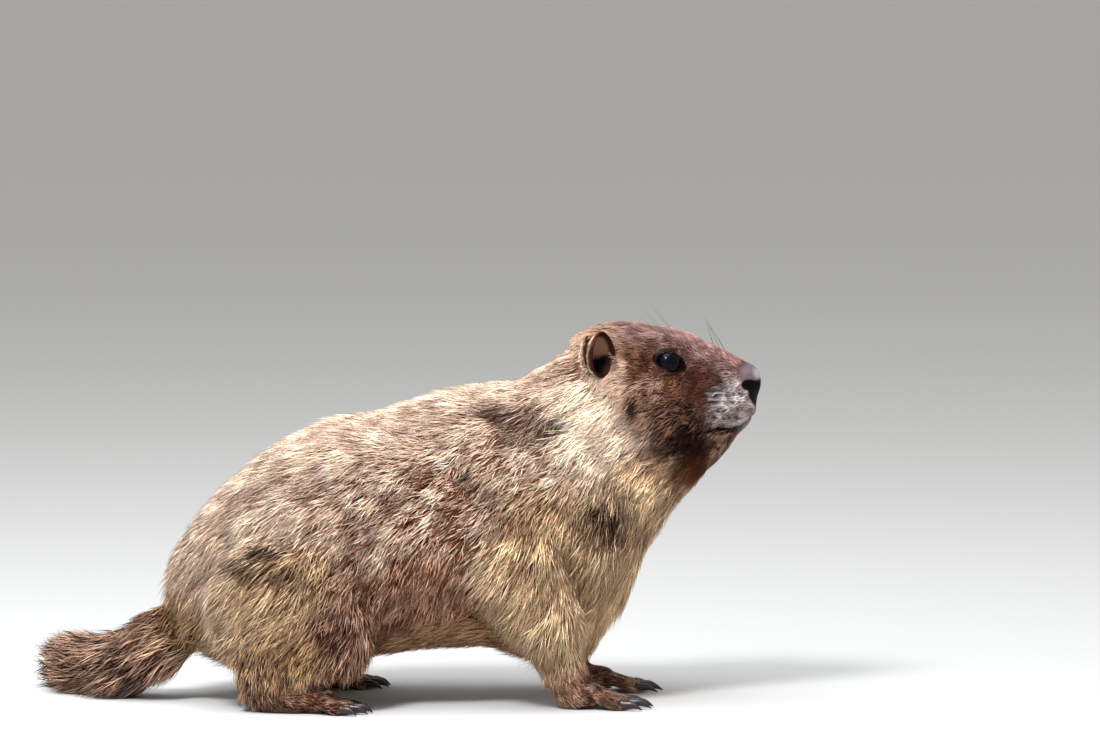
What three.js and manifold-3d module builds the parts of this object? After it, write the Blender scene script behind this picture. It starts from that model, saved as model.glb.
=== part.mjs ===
// A yellow-bellied marmot, life size, crouched on all fours with its head raised and its tail laid
// behind it. The solids are the animal's outer form, out to the tips of its coat.
import * as THREE from "three";
import { mergeVertices } from "three/addons/utils/BufferGeometryUtils.js";
import Module from "manifold-3d";

const wasm = await Module();
wasm.setup();

// Driving dimensions in millimetres: x runs forward, y to the animal's left, z up from the floor.
// Places are measured from a point on the floor under the middle of the back.
const GAP = 0.35; // between neighbouring solids
const BODY_CELL = 21.5; // facet sizes
const LIMB_CELL = 16;
const TAIL_CELL = 13;
const HEAD_CELL = 9;
const MUZZLE_CELL = 6.6;
const BODY_BLEND = 22; // how far one mass runs smoothly into the next
const HEAD_BLEND = 9;
const NECK_BLEND = 16;
const LIMB_BLEND = 12;
const LIMB_INNER = 26; // the legs are let into the body to this distance from its middle
const CUTTER = 900; // side of the blocks that part the body

const EYE = { at: [133.8, 21.5, 201.2], radius: 7.4 };
const EAR = { at: [94, 32, 206.5], height: 25, width: 20, depth: 11, wall: 2.6, turn: 48, lean: 12 };
const FORE_PAW = {
  heel: [72, 40], yaw: 5, palm: [23, 25, 17], toes: [-10, -3.4, 3.4, 10],
  lengths: [17, 21, 20.5, 16], radius: 4.5, claw: 11, rise: 10,
};
const HIND_PAW = {
  heel: [-108, 56], yaw: 9, palm: [52, 25, 19], toes: [-11.6, -5.9, 0, 5.9, 11.6],
  lengths: [13, 18, 20, 18.5, 14], radius: 4.3, claw: 9, rise: 9,
};
const LEFT_PAWS_FORWARD = 7; // the far feet stand a little ahead of the near ones
const PAD = { longer: 5, higher: 1, back: 2, down: 2 }; // the palm's ball against the palm's own sizes
const TOE = { start: 0.72, rootSpread: 0.86, tipSpread: 1.18, tipHeight: 0.82 }; // shares of palm and radius
const CLAW = { thick: 2.1, tall: 1.25, bend: 3.4, spread: 0.32, height: 0.95 };
const ROUND = [10, 7]; // segments round and down an eye or an ear
const EAR_HOLLOW = { segments: [8, 6], ahead: 0.5 };

// Masses of the body, each an ellipsoid with its half sizes forward, across and up
const TRUNK_MASSES = {
  rump: { at: [-91, 0, 82], size: [70, 60, 57], pitch: 40 },
  tail_root: { at: [-132, 0, 62], size: [26, 26, 30] },
  belly: { at: [-38, 0, 99], size: [80, 71, 72], pitch: 10 },
  ribs: { at: [28, 0, 103], size: [70, 60, 72], pitch: 10 },
  withers: { at: [12, 0, 148], size: [42, 40, 34], pitch: 6 },
  breast: { at: [70, 0, 94], size: [43, 47, 54] },
  sternum: { at: [70, 0, 62], size: [30, 38, 38] },
};
const NECK_TAPERS = {
  nape: { from: [40, 0, 126], to: [98, 0, 178], radii: [57, 36] },
  throat: { from: [86, 0, 116], to: [127, 0, 149], radii: [46, 33] },
};
const HEAD_MASSES = {
  skull: { at: [112, 0, 189], size: [41, 32, 35], pitch: -4 },
  cheeks: { at: [118, 0, 173], size: [35, 36, 27], pitch: -6 },
  forehead: { at: [138, 0, 201], size: [22, 22, 17.5], pitch: -14 },
  bridge: { at: [156, 0, 197], size: [25, 15, 14], pitch: -22 },
  muzzle: { at: [160, 0, 184], size: [25, 18, 20], pitch: -8 },
  nose: { at: [180, 0, 189.5], size: [9.5, 9, 8.5], pitch: -10 },
  chin: { at: [165, 0, 162], size: [13.5, 10.5, 9.5], pitch: 28 },
};
const HEAD_PAIRS = {
  brow: { at: [133, 17, 208], size: [14, 9, 8], pitch: -10 },
  whisker_pad: { at: [169, 7.5, 173], size: [16, 11, 12], pitch: -6 },
  jowl: { at: [127, 18, 162], size: [25, 17, 19], pitch: 10 },
};
const JAW = { from: [121, 0, 154], to: [156, 0, 159], radii: [23, 15] };

// Limbs of one side, in its own outward direction
const FORE_LIMB = {
  shoulder: { at: [48, 38, 92], size: [33, 25, 44], pitch: -22 },
  upper_arm: { from: [48, 44, 82], to: [62, 44, 56], radii: [25, 21] },
  forearm: { from: [62, 44, 56], to: [75, 41, 17], radii: [20, 13] },
};
const HIND_LIMB = {
  thigh: { at: [-84, 47, 66], size: [52, 30, 45], pitch: 16 },
  knee: { at: [-58, 60, 46], size: [23, 17, 25] },
  shank: { from: [-62, 60, 38], to: [-103, 55, 20], radii: [19, 16] },
};
const TAIL = {
  route: [[-138, 0, 58], [-162, 2, 36], [-186, 12, 21], [-209, 33, 17], [-222, 62, 14], [-224, 98, 11]],
  radii: [22, 20, 19, 19, 17, 11],
};

// Planes that part the body, each a point in the middle plane and the angle it leans forward
const MUZZLE_CUT = { at: [150, 180], lean: -6 };
const HEAD_CUT = { at: [100, 176], lean: 38 };
const NECK_CUT = { at: [66, 146], lean: 44 };
const CHEST_CUT = { at: [0, 100], lean: 4 };
const RUMP_CUT = { at: [-70, 100], lean: -6 };

// Boxes that the surface nets cover
const BODY_NET = { low: [-172, -80, -2], high: [202, 80, 236] };
const HEAD_NET = { back: 44, bottom: 94 };
const MUZZLE_NET = { back: 130, bottom: 104 };
const LIMB_NET = { inner: 5, outer: 84, bottom: -8 };
const FORE_NET = { back: -5, front: 125, top: 150 };
const HIND_NET = { back: -150, front: -20, top: 130 };
const TAIL_NET = { low: [-250, -30, -10], high: [-110, 116, 90] };

const radians = THREE.MathUtils.degToRad;

// Signed distance fields in millimetres, negative inside
function ellipsoid({ at, size, pitch = 0 }, side = 1) {
  const c = Math.cos(radians(pitch));
  const s = Math.sin(radians(pitch));
  return (x, y, z) => {
    const dx = x - at[0];
    const dz = z - at[2];
    const u = (c * dx + s * dz) / size[0];
    const v = (y - side * at[1]) / size[1];
    const w = (c * dz - s * dx) / size[2];
    const near = Math.hypot(u, v, w);
    const slope = Math.hypot(u / size[0], v / size[1], w / size[2]);
    return slope < 1e-9 ? -Math.min(...size) : (near * (near - 1)) / slope;
  };
}

function taper({ from, to, radii }, side = 1) {
  const a = new THREE.Vector3(from[0], side * from[1], from[2]);
  const along = new THREE.Vector3(to[0], side * to[1], to[2]).sub(a);
  const squared = along.lengthSq();
  return (x, y, z) => {
    const p = new THREE.Vector3(x, y, z).sub(a);
    const t = THREE.MathUtils.clamp(p.dot(along) / squared, 0, 1);
    return p.addScaledVector(along, -t).length() - THREE.MathUtils.lerp(radii[0], radii[1], t);
  };
}

function join(fields, reach) {
  return (x, y, z) =>
    fields
      .map((field) => field(x, y, z))
      .reduce((a, b) => {
        const h = Math.max(reach - Math.abs(a - b), 0) / reach;
        return Math.min(a, b) - (h * h * reach) / 4;
      });
}

function bodyField() {
  const trunk = join(Object.values(TRUNK_MASSES).map((mass) => ellipsoid(mass)), BODY_BLEND);
  const neck = join(Object.values(NECK_TAPERS).map((part) => taper(part)), NECK_BLEND);
  const pairs = Object.values(HEAD_PAIRS).flatMap((mass) => [ellipsoid(mass, 1), ellipsoid(mass, -1)]);
  const middle = Object.values(HEAD_MASSES).map((mass) => ellipsoid(mass));
  const head = join([...middle, ...pairs, taper(JAW)], HEAD_BLEND);
  return join([join([trunk, neck], BODY_BLEND), head], NECK_BLEND);
}

function foreLimbField(side) {
  const { shoulder, upper_arm: upperArm, forearm } = FORE_LIMB;
  return join([ellipsoid(shoulder, side), taper(upperArm, side), taper(forearm, side)], LIMB_BLEND);
}

function hindLimbField(side) {
  const { thigh, knee, shank } = HIND_LIMB;
  return join([ellipsoid(thigh, side), ellipsoid(knee, side), taper(shank, side)], LIMB_BLEND);
}

function tailField() {
  const lengths = TAIL.route.slice(1).map((to, i) =>
    taper({ from: TAIL.route[i], to, radii: [TAIL.radii[i], TAIL.radii[i + 1]] }),
  );
  return join(lengths, LIMB_BLEND / 2);
}

// Surface nets: one vertex in each cell that the surface passes through, drawn onto the surface
function skinOf(field, low, high, cell) {
  const first = low.map((v) => (Math.floor(v / cell) - 1) * cell); // the same places on both sides
  const [nx, ny, nz] = high.map((v, i) => Math.ceil((v - first[i]) / cell) + 2);
  const index = (i, j, k) => i + nx * (j + ny * k);
  const values = new Float64Array(nx * ny * nz);
  for (let k = 0; k < nz; k++)
    for (let j = 0; j < ny; j++)
      for (let i = 0; i < nx; i++)
        values[index(i, j, k)] = field(first[0] + i * cell, first[1] + j * cell, first[2] + k * cell);
  const corners = [0, 1, 2, 3, 4, 5, 6, 7].map((n) => [n & 1, (n >> 1) & 1, n >> 2]);
  const edges = corners.flatMap((a, m) =>
    [1, 2, 4].filter((bit) => !(m & bit)).map((bit) => [a, corners[m | bit]]),
  );
  const positions = [];
  const vertexOf = new Map();
  for (let k = 0; k < nz - 1; k++)
    for (let j = 0; j < ny - 1; j++)
      for (let i = 0; i < nx - 1; i++) {
        const crossings = [];
        for (const [a, b] of edges) {
          const va = values[index(i + a[0], j + a[1], k + a[2])];
          const vb = values[index(i + b[0], j + b[1], k + b[2])];
          if (va < 0 === vb < 0) continue;
          const t = va / (va - vb);
          crossings.push([0, 1, 2].map((n) => a[n] + t * (b[n] - a[n])));
        }
        if (!crossings.length) continue;
        const mean = [0, 1, 2].map((n) => crossings.reduce((sum, c) => sum + c[n], 0) / crossings.length);
        const start = [i, j, k].map((v, n) => first[n] + (v + mean[n]) * cell);
        vertexOf.set(index(i, j, k), positions.length / 3);
        positions.push(...ontoSurface(field, start, cell));
      }
  const triangles = [];
  const quad = (a, b, c, d, flip) => {
    const [p, q, r, s] = [a, b, c, d].map((v) => vertexOf.get(v));
    triangles.push(...(flip ? [p, r, q, p, s, r] : [p, q, r, p, r, s]));
  };
  for (let k = 1; k < nz - 1; k++)
    for (let j = 1; j < ny - 1; j++)
      for (let i = 1; i < nx - 1; i++) {
        const inside = values[index(i, j, k)] < 0;
        const square = (du, dv) => [
          index(i - du[0] - dv[0], j - du[1] - dv[1], k - du[2] - dv[2]),
          index(i - dv[0], j - dv[1], k - dv[2]),
          index(i, j, k),
          index(i - du[0], j - du[1], k - du[2]),
        ];
        if (values[index(i + 1, j, k)] < 0 !== inside) quad(...square([0, 1, 0], [0, 0, 1]), !inside);
        if (values[index(i, j + 1, k)] < 0 !== inside) quad(...square([0, 0, 1], [1, 0, 0]), !inside);
        if (values[index(i, j, k + 1)] < 0 !== inside) quad(...square([1, 0, 0], [0, 1, 0]), !inside);
      }
  return new THREE.BufferGeometry()
    .setAttribute("position", new THREE.Float32BufferAttribute(positions, 3))
    .setIndex(triangles);
}

// The same net, moved outwards by a small distance
function swollen(net, field, by) {
  const place = net.attributes.position;
  const moved = [];
  for (let i = 0; i < place.count; i++) {
    const p = [place.getX(i), place.getY(i), place.getZ(i)];
    const slope = slopeOf(field, p);
    const length = Math.hypot(...slope);
    moved.push(...p.map((v, n) => v + (by * slope[n]) / length));
  }
  return net.clone().setAttribute("position", new THREE.Float32BufferAttribute(moved, 3));
}

function slopeOf(field, p) {
  const step = 0.05;
  return [0, 1, 2].map((n) => {
    const q = [...p];
    q[n] += step;
    return (field(...q) - field(...p)) / step;
  });
}

function ontoSurface(field, start, cell) {
  const reach = 0.3 * cell; // less than half a cell, so that neighbours never meet
  const p = [...start];
  for (let pass = 0; pass < 3; pass++) {
    const value = field(...p);
    const slope = slopeOf(field, p);
    const squared = slope.reduce((sum, v) => sum + v * v, 1e-6);
    for (let n = 0; n < 3; n++)
      p[n] = THREE.MathUtils.clamp(p[n] - (value * slope[n]) / squared, start[n] - reach, start[n] + reach);
  }
  return p;
}

// Solids: joining and cutting
function solidOf(geometry) {
  const bare = geometry.clone();
  bare.deleteAttribute("normal");
  bare.deleteAttribute("uv");
  const merged = mergeVertices(bare, 1e-4);
  const corners = merged.index.array;
  const faces = [];
  for (let i = 0; i < corners.length; i += 3) {
    const [a, b, c] = corners.slice(i, i + 3);
    if (a !== b && b !== c && c !== a) faces.push(a, b, c); // the poles of a lathe or capsule collapse
  }
  return new wasm.Manifold(
    new wasm.Mesh({
      numProp: 3,
      vertProperties: merged.attributes.position.array,
      triVerts: new Uint32Array(faces),
    }),
  );
}

function geometryOf(solid) {
  const largest = solid.decompose().reduce((a, b) => (a.volume() > b.volume() ? a : b));
  const mesh = largest.getMesh();
  return new THREE.BufferGeometry()
    .setAttribute("position", new THREE.BufferAttribute(mesh.vertProperties, 3))
    .setIndex(new THREE.BufferAttribute(mesh.triVerts, 1));
}

// A block whose face is the cut's plane, on the side that it leans towards (1) or away from (-1)
function block({ at, lean }, side) {
  const offset = (side * (CUTTER + GAP)) / 2;
  const box = new THREE.BoxGeometry(CUTTER, CUTTER, CUTTER)
    .translate(offset, 0, 0)
    .rotateY(-radians(lean))
    .translate(at[0], 0, at[1]);
  return solidOf(box);
}

// The pinna is a cupped shell: a flattened ball hollowed by a smaller one set further out
function earSolid(side, grow = 0) {
  const { at, height, width, depth, wall, turn, lean } = EAR;
  const place = new THREE.Matrix4()
    .makeRotationFromEuler(new THREE.Euler(radians(-side * lean), 0, radians(side * turn), "ZXY"))
    .setPosition(at[0], side * at[1], at[2]);
  const outer = new THREE.SphereGeometry(1, ...ROUND)
    .scale(depth / 2 + grow, width / 2 + grow, height / 2 + grow)
    .applyMatrix4(place);
  const hollow = new THREE.SphereGeometry(1, ...EAR_HOLLOW.segments)
    .scale(depth - wall - grow, width / 2 - wall - grow, height / 2 - wall - grow)
    .translate(depth / 2 + EAR_HOLLOW.ahead, 0, 0)
    .applyMatrix4(place);
  return solidOf(outer).subtract(solidOf(hollow));
}

function eyeSolid(side, grow = 0) {
  const ball = new THREE.SphereGeometry(EYE.radius + grow, ...ROUND);
  return solidOf(ball.translate(EYE.at[0], side * EYE.at[1], EYE.at[2]));
}

function aboveFloor() {
  return solidOf(new THREE.BoxGeometry(CUTTER, CUTTER, CUTTER).translate(0, 0, CUTTER / 2));
}

function outboard(side, grow) {
  const face = side * (LIMB_INNER - grow + CUTTER / 2);
  return solidOf(new THREE.BoxGeometry(CUTTER, CUTTER, CUTTER).translate(0, face, 0));
}

// One paw: a palm or sole, with a row of toes that reach forward and down to the floor
function pawPlace(paw, side) {
  const ahead = side > 0 ? LEFT_PAWS_FORWARD : 0;
  return new THREE.Matrix4()
    .makeRotationZ(radians(side * paw.yaw))
    .setPosition(paw.heel[0] + ahead, side * paw.heel[1], 0);
}

function toe(paw, n, side, grow) {
  const { palm, toes, lengths, radius, rise } = paw;
  const start = palm[0] * TOE.start;
  const root = new THREE.Vector3(start, side * toes[n] * TOE.rootSpread, rise);
  const tip = new THREE.Vector3(start + lengths[n], side * toes[n] * TOE.tipSpread, radius * TOE.tipHeight);
  const along = tip.clone().sub(root);
  const turn = new THREE.Quaternion().setFromUnitVectors(
    new THREE.Vector3(0, 1, 0),
    along.clone().normalize(),
  );
  return new THREE.CapsuleGeometry(radius + grow, along.length(), 2, 5)
    .applyQuaternion(turn)
    .translate(...root.add(tip).multiplyScalar(0.5).toArray())
    .applyMatrix4(pawPlace(paw, side));
}

function pawSolid(paw, side, grow = 0) {
  const { palm, rise } = paw;
  const pad = new THREE.SphereGeometry(1, 8, 5)
    .scale(palm[0] / 2 + PAD.longer + grow, palm[1] / 2 + grow, palm[2] / 2 + PAD.higher + grow)
    .translate(palm[0] / 2 - PAD.back, 0, rise - PAD.down)
    .applyMatrix4(pawPlace(paw, side));
  return paw.toes
    .map((_, n) => solidOf(toe(paw, n, side, grow)))
    .reduce((all, next) => all.add(next), solidOf(pad))
    .intersect(aboveFloor());
}

// A claw is a tapered horn that bends down to the floor ahead of its toe
function clawSolid(paw, n, side) {
  const { palm, toes, lengths, radius, claw } = paw;
  const length = claw + radius;
  const horn = new THREE.ConeGeometry(CLAW.thick, length, 4, 2).rotateZ(-Math.PI / 2);
  const place = horn.attributes.position;
  for (let i = 0; i < place.count; i++) {
    const along = (place.getX(i) + length / 2) / length;
    place.setZ(i, place.getZ(i) * CLAW.tall - CLAW.bend * along * along);
  }
  const [ahead, out] = [palm[0] * TOE.start + lengths[n], side * toes[n] * TOE.tipSpread];
  horn
    .translate(length / 2, 0, 0)
    .rotateZ(side * Math.atan2(toes[n] * CLAW.spread, lengths[n]))
    .translate(ahead, out, radius * CLAW.height)
    .applyMatrix4(pawPlace(paw, side));
  return solidOf(horn).subtract(solidOf(toe(paw, n, side, GAP))).intersect(aboveFloor());
}

// Colours of the coat and the bare parts
const COAT = {
  straw: 0xc9ad7f, brown: 0x7d5c48, dark: 0x4f3329, buff: 0xb79468, horn: 0x2a211d, eye: 0x0a0a10,
};

const marmot = new THREE.Group();

function addNode(name, solid, colour, roughness = 0.9) {
  const material = new THREE.MeshStandardMaterial({ color: colour, roughness, metalness: 0 });
  const mesh = new THREE.Mesh(geometryOf(solid), material);
  mesh.name = name;
  marmot.add(mesh);
}

const SIDES = [["left", 1], ["right", -1]];

// The limbs, tail and ears are whole, and the body is cut to meet them
const limbs = [];
function keepLimb(field, side, { back, front, top }) {
  const { inner, outer, bottom } = LIMB_NET;
  const across = side > 0 ? [inner, outer] : [-outer, -inner];
  const net = skinOf(field, [back, across[0], bottom], [front, across[1], top], LIMB_CELL);
  limbs.push(solidOf(swollen(net, field, GAP)).intersect(outboard(side, GAP)));
  return solidOf(net).intersect(outboard(side, 0)).intersect(aboveFloor());
}

for (const [word, side] of SIDES) {
  const forePaw = pawSolid(FORE_PAW, side);
  const hindPaw = pawSolid(HIND_PAW, side);
  const arm = keepLimb(foreLimbField(side), side, FORE_NET);
  const leg = keepLimb(hindLimbField(side), side, HIND_NET);
  limbs.push(pawSolid(FORE_PAW, side, GAP), pawSolid(HIND_PAW, side, GAP));
  addNode(`fore_leg_${word}`, arm.subtract(pawSolid(FORE_PAW, side, GAP)), COAT.straw);
  addNode(`hind_leg_${word}`, leg.subtract(pawSolid(HIND_PAW, side, GAP)), COAT.buff);
  addNode(`fore_paw_${word}`, forePaw, COAT.brown);
  addNode(`hind_paw_${word}`, hindPaw, COAT.brown);
  FORE_PAW.toes.forEach((_, n) =>
    addNode(`claw_fore_${word}_${n + 1}`, clawSolid(FORE_PAW, n, side), COAT.horn, 0.35),
  );
  HIND_PAW.toes.forEach((_, n) =>
    addNode(`claw_hind_${word}_${n + 1}`, clawSolid(HIND_PAW, n, side), COAT.horn, 0.35),
  );
}

const tailNet = skinOf(tailField(), TAIL_NET.low, TAIL_NET.high, TAIL_CELL);
const tail = solidOf(tailNet).intersect(aboveFloor());
limbs.push(solidOf(swollen(tailNet, tailField(), GAP)));

// The head and muzzle are cut finer than the rest of the body
const body = bodyField();
function bodyAhead({ back, bottom }, cell) {
  const ahead = (x, y, z) => Math.max(body(x, y, z), back - x, bottom - z);
  return solidOf(skinOf(ahead, [back, BODY_NET.low[1], bottom], BODY_NET.high, cell));
}
const fine = bodyAhead(HEAD_NET, HEAD_CELL).intersect(block(MUZZLE_CUT, -1));
const muzzle = bodyAhead(MUZZLE_NET, MUZZLE_CELL)
  .intersect(block(MUZZLE_CUT, 1))
  .intersect(block(HEAD_CUT, 1));
const coarse = limbs.reduce(
  (left, limb) => left.subtract(limb),
  solidOf(skinOf(body, BODY_NET.low, BODY_NET.high, BODY_CELL)),
).intersect(aboveFloor());

let head = fine.intersect(block(HEAD_CUT, 1));
for (const [word, side] of SIDES) {
  addNode(`eye_${word}`, eyeSolid(side), COAT.eye, 0.05);
  addNode(`ear_${word}`, earSolid(side), COAT.dark);
  const earRoom = earSolid(side, GAP);
  head = head.subtract(eyeSolid(side, GAP)).subtract(earRoom);
  limbs.push(earRoom);
}
const neckPart = coarse.intersect(block(HEAD_CUT, -1)).intersect(block(NECK_CUT, 1));
const trunkPart = coarse.intersect(block(NECK_CUT, -1));
addNode("head", head, COAT.brown);
addNode("muzzle", muzzle, COAT.dark);
addNode("neck", limbs.slice(-2).reduce((left, ear) => left.subtract(ear), neckPart), COAT.straw);
addNode("chest", trunkPart.intersect(block(CHEST_CUT, 1)), COAT.buff);
addNode("abdomen", trunkPart.intersect(block(CHEST_CUT, -1)).intersect(block(RUMP_CUT, 1)), COAT.brown);
addNode("rump", trunkPart.intersect(block(RUMP_CUT, -1)), COAT.straw);
addNode("tail", tail, COAT.dark);

// The origin is on the floor, under the middle of the animal
const bounds = new THREE.Box3().setFromObject(marmot);
const middle = bounds.getCenter(new THREE.Vector3());
marmot.position.set(-middle.x, -middle.y, -bounds.min.z);

export default marmot;
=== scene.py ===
# A yellow-bellied marmot, life size, crouched on all fours: one skin, eyes, claws and a coat of tufts.
import math

import bmesh
import bpy
import numpy as np
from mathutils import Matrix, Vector
from mathutils.kdtree import KDTree


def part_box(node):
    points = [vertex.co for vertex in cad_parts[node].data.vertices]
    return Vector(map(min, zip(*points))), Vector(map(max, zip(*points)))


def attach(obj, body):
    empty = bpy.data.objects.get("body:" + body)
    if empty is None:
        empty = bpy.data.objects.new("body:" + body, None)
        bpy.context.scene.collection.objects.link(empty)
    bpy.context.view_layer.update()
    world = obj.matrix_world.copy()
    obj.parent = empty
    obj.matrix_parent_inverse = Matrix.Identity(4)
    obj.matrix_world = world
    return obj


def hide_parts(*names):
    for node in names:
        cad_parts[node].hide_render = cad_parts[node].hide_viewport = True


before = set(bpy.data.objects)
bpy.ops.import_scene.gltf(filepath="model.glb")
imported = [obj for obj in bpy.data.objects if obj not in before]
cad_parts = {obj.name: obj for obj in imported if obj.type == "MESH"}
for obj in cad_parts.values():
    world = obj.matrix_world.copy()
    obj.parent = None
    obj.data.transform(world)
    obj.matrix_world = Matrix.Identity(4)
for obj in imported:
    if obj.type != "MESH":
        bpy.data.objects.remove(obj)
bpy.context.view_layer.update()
rng = np.random.default_rng(7)

MM = 1000.0  # millimetres in the model's unit

# Sizes in millimetres, in the animal's own frame: x forward, y to its left, z up from the floor
EYE_AT = np.array([133.8, 21.5, 201.2])
EYE_RADIUS = 7.4
EAR_AT = np.array([94.0, 32.0, 206.5])
VOXEL = 1.5
NODE_OVERLAP = 0.3  # the solids are swollen by this, so that their parting gaps close

eye_low, eye_high = (np.array(c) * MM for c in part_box("eye_left"))
HOME = (eye_low + eye_high) / 2 - EYE_AT  # from the animal's frame to the model's
MAIN_PIECE = "root"

# Colours, as seen on screen
SHADES = {
    "straw": (0.98, 0.86, 0.76),
    "pale": (0.98, 0.905, 0.81),
    "gold": (0.97, 0.83, 0.66),
    "honey": (0.86, 0.70, 0.52),
    "fawn": (0.80, 0.64, 0.54),
    "brown": (0.54, 0.385, 0.31),
    "russet": (0.44, 0.23, 0.12),
    "umber": (0.29, 0.14, 0.08),
    "dark": (0.15, 0.055, 0.03),
    "mauve": (0.62, 0.49, 0.46),
    "dusk": (0.38, 0.25, 0.22),
    "frost": (1.0, 0.95, 0.94),
    "slate": (0.37, 0.32, 0.345),
    "black": (0.02, 0.012, 0.012),
}


def linear(colour):
    c = np.asarray(colour, float)
    return np.where(c <= 0.04045, c / 12.92, ((c + 0.055) / 1.055) ** 2.4)


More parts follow.
